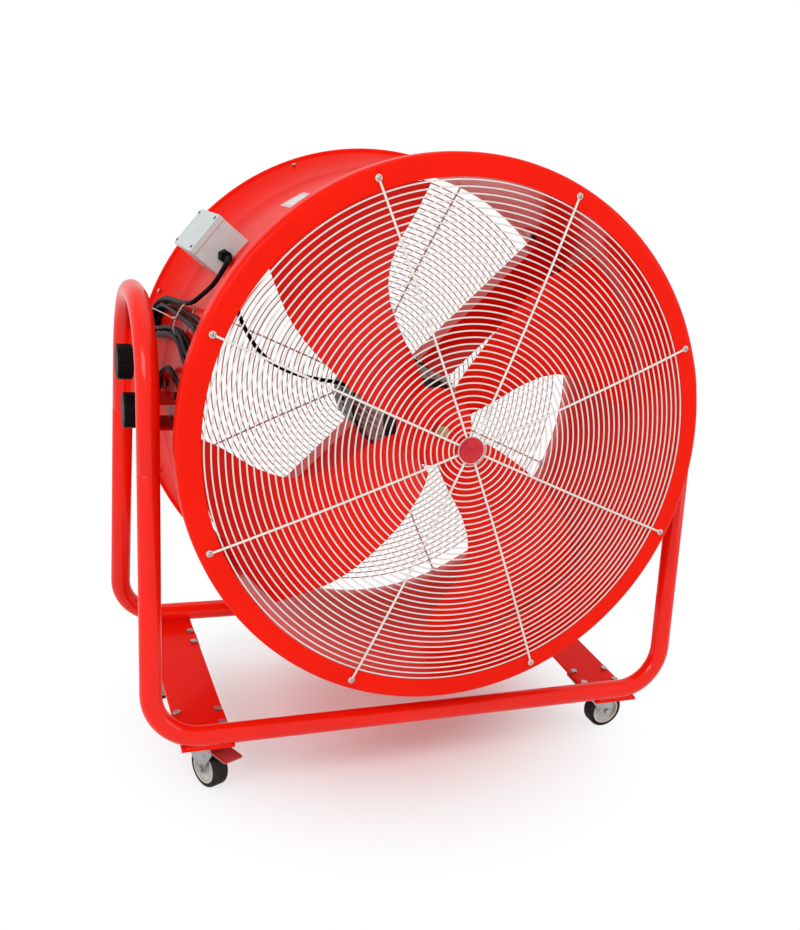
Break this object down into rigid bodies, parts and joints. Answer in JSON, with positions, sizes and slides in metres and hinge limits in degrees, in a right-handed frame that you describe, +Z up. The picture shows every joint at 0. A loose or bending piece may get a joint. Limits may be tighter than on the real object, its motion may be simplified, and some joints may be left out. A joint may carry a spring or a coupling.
{
  "type": "drum fan",
  "caption": "Large wheeled drum fan: tilting open drum with wire guards, wide-bladed impeller and rear motor, hung in a tube frame on casters.",
  "frame": {"origin": "on the floor under the middle of the fan", "axes": "+Z up, -Y out of the front guard, +X to the right of someone who looks at the front guard"},
  "size_m": [1.1006, 0.6524, 1.1805],
  "materials": {
    "red_paint": "glossy powder coat",
    "red_paint_blades": "satin powder coat",
    "guard_coat": "white plastic-dipped wire",
    "zinc": "zinc plate",
    "motor_alloy": "die-cast, oxidised",
    "motor_black": "satin black",
    "stator_steel": "laminations and windings",
    "bearing_steel": "ground",
    "shaft_bronze": "oiled",
    "box_plastic": "light grey-green moulding",
    "black_plastic": "fine texture",
    "cord_rubber": "satin sheath",
    "tyre_rubber": "moulded",
    "hub_plastic": "light grey",
    "badge_enamel": "enamel disc",
    "label_film": "blank silver film",
    "tie_wire": "coated wire",
    "pedal_red": "moulded"
  },
  "bodies": {
    "stand": {"left_hoop": "red_paint", "right_hoop": "red_paint", "front_base_tube": "red_paint", "rear_base_tube": "red_paint", "pivot_plates": "red_paint", "caster_plates": "red_paint", "caster_top_plates": "zinc", "caster_bolts": "zinc"},
    "caster_front_left": {"caster_fork_front_left": "zinc"},
    "wheel_front_left": {"wheel_hub_front_left": "hub_plastic", "tyre_front_left": "tyre_rubber"},
    "pedal_front_left": {"brake_pedal_front_left": "pedal_red"},
    "caster_front_right": {"caster_fork_front_right": "zinc"},
    "wheel_front_right": {"wheel_hub_front_right": "hub_plastic", "tyre_front_right": "tyre_rubber"},
    "caster_rear_left": {"caster_fork_rear_left": "zinc"},
    "wheel_rear_left": {"wheel_hub_rear_left": "hub_plastic", "tyre_rear_left": "tyre_rubber"},
    "caster_rear_right": {"caster_fork_rear_right": "zinc"},
    "wheel_rear_right": {"wheel_hub_rear_right": "hub_plastic", "tyre_rear_right": "tyre_rubber"},
    "pedal_rear_right": {"brake_pedal_rear_right": "pedal_red"},
    "impeller": {"impeller_blades": "red_paint_blades", "impeller_hub": "red_paint_blades", "impeller_bolts": "zinc", "motor_shaft": "shaft_bronze", "motor_rotor": "stator_steel", "cooling_fan": "black_plastic"},
    "pivot_knob_left": {"pivot_knob_left": "black_plastic"},
    "pivot_knob_right": {"pivot_knob_right": "black_plastic"},
    "lock_knob_left": {"lock_knob_left": "black_plastic"},
    "lock_knob_right": {"lock_knob_right": "black_plastic"},
    "drum": {"cable_gland": "black_plastic", "cord_tie": "tie_wire", "drum_bolts": "motor_black", "drum_cylinder": "red_paint", "fan_cowl": "motor_black", "front_guard_rings": "guard_coat", "front_guard_spokes": "guard_coat", "front_rim": "red_paint", "guard_badge": "badge_enamel", "guard_screws": "zinc", "junction_box": "box_plastic", "junction_box_lid": "box_plastic", "lead_grommet": "cord_rubber", "mains_plug": "black_plastic", "motor_bearings": "bearing_steel", "motor_end_shields": "motor_black", "motor_frame": "motor_alloy", "motor_lead": "cord_rubber", "motor_stator": "stator_steel", "motor_strut": "red_paint", "pivot_brackets": "red_paint", "pivot_studs": "zinc", "rating_plate": "label_film", "rear_guard_rings": "guard_coat", "rear_guard_spokes": "guard_coat", "rear_rim": "red_paint", "supply_cord": "cord_rubber", "supply_hank": "cord_rubber"}
  },
  "joints": [
    {"name": "drum_tilt", "type": "hinge", "parent": "stand", "child": "drum", "pos_m": [0, 0, 0.673], "axis": [-1, 0, 0], "range_deg": [-34.2, 25.8]},
    {"name": "impeller_spin", "type": "hinge", "parent": "drum", "child": "impeller", "pos_m": [0, 0, 0.673], "axis": [0, 0.9973, -0.0732], "continuous": true},
    {"name": "pivot_knob_left_turn", "type": "hinge", "parent": "drum", "child": "pivot_knob_left", "pos_m": [-0.52, 0, 0.673], "axis": [-1, 0, 0], "continuous": true},
    {"name": "pivot_knob_right_turn", "type": "hinge", "parent": "drum", "child": "pivot_knob_right", "pos_m": [0.52, 0, 0.673], "axis": [1, 0, 0], "continuous": true},
    {"name": "lock_knob_left_turn", "type": "hinge", "parent": "drum", "child": "lock_knob_left", "pos_m": [-0.52, 0.00637, 0.75977], "axis": [-1, 0, 0], "continuous": true},
    {"name": "lock_knob_right_turn", "type": "hinge", "parent": "drum", "child": "lock_knob_right", "pos_m": [0.52, 0.00637, 0.75977], "axis": [1, 0, 0], "continuous": true},
    {"name": "swivel_front_left", "type": "hinge", "parent": "stand", "child": "caster_front_left", "pos_m": [-0.421, -0.165, 0.1], "axis": [0, 0, 1], "continuous": true},
    {"name": "roll_front_left", "type": "hinge", "parent": "caster_front_left", "child": "wheel_front_left", "pos_m": [-0.4059, -0.19768, 0.04], "axis": [0.9078, 0.4195, 0], "continuous": true},
    {"name": "brake_front_left", "type": "hinge", "parent": "caster_front_left", "child": "pedal_front_left", "pos_m": [-0.39667, -0.21765, 0.087], "axis": [0.9078, 0.4195, 0], "range_deg": [0, 14]},
    {"name": "swivel_front_right", "type": "hinge", "parent": "stand", "child": "caster_front_right", "pos_m": [0.421, -0.165, 0.1], "axis": [0, 0, 1], "continuous": true},
    {"name": "roll_front_right", "type": "hinge", "parent": "caster_front_right", "child": "wheel_front_right", "pos_m": [0.45686, -0.16186, 0.04], "axis": [-0.0872, 0.9962, 0], "continuous": true},
    {"name": "swivel_rear_left", "type": "hinge", "parent": "stand", "child": "caster_rear_left", "pos_m": [-0.421, 0.165, 0.1], "axis": [0, 0, 1], "continuous": true},
    {"name": "roll_rear_left", "type": "hinge", "parent": "caster_rear_left", "child": "wheel_rear_left", "pos_m": [-0.44805, 0.14124, 0.04], "axis": [0.66, -0.7513, 0], "continuous": true},
    {"name": "swivel_rear_right", "type": "hinge", "parent": "stand", "child": "caster_rear_right", "pos_m": [0.421, 0.165, 0.1], "axis": [0, 0, 1], "continuous": true},
    {"name": "roll_rear_right", "type": "hinge", "parent": "caster_rear_right", "child": "wheel_rear_right", "pos_m": [0.439, 0.19618, 0.04], "axis": [-0.866, 0.5, 0], "continuous": true},
    {"name": "brake_rear_right", "type": "hinge", "parent": "caster_rear_right", "child": "pedal_rear_right", "pos_m": [0.45, 0.21523, 0.087], "axis": [-0.866, 0.5, 0], "range_deg": [0, 14]}
  ]
}
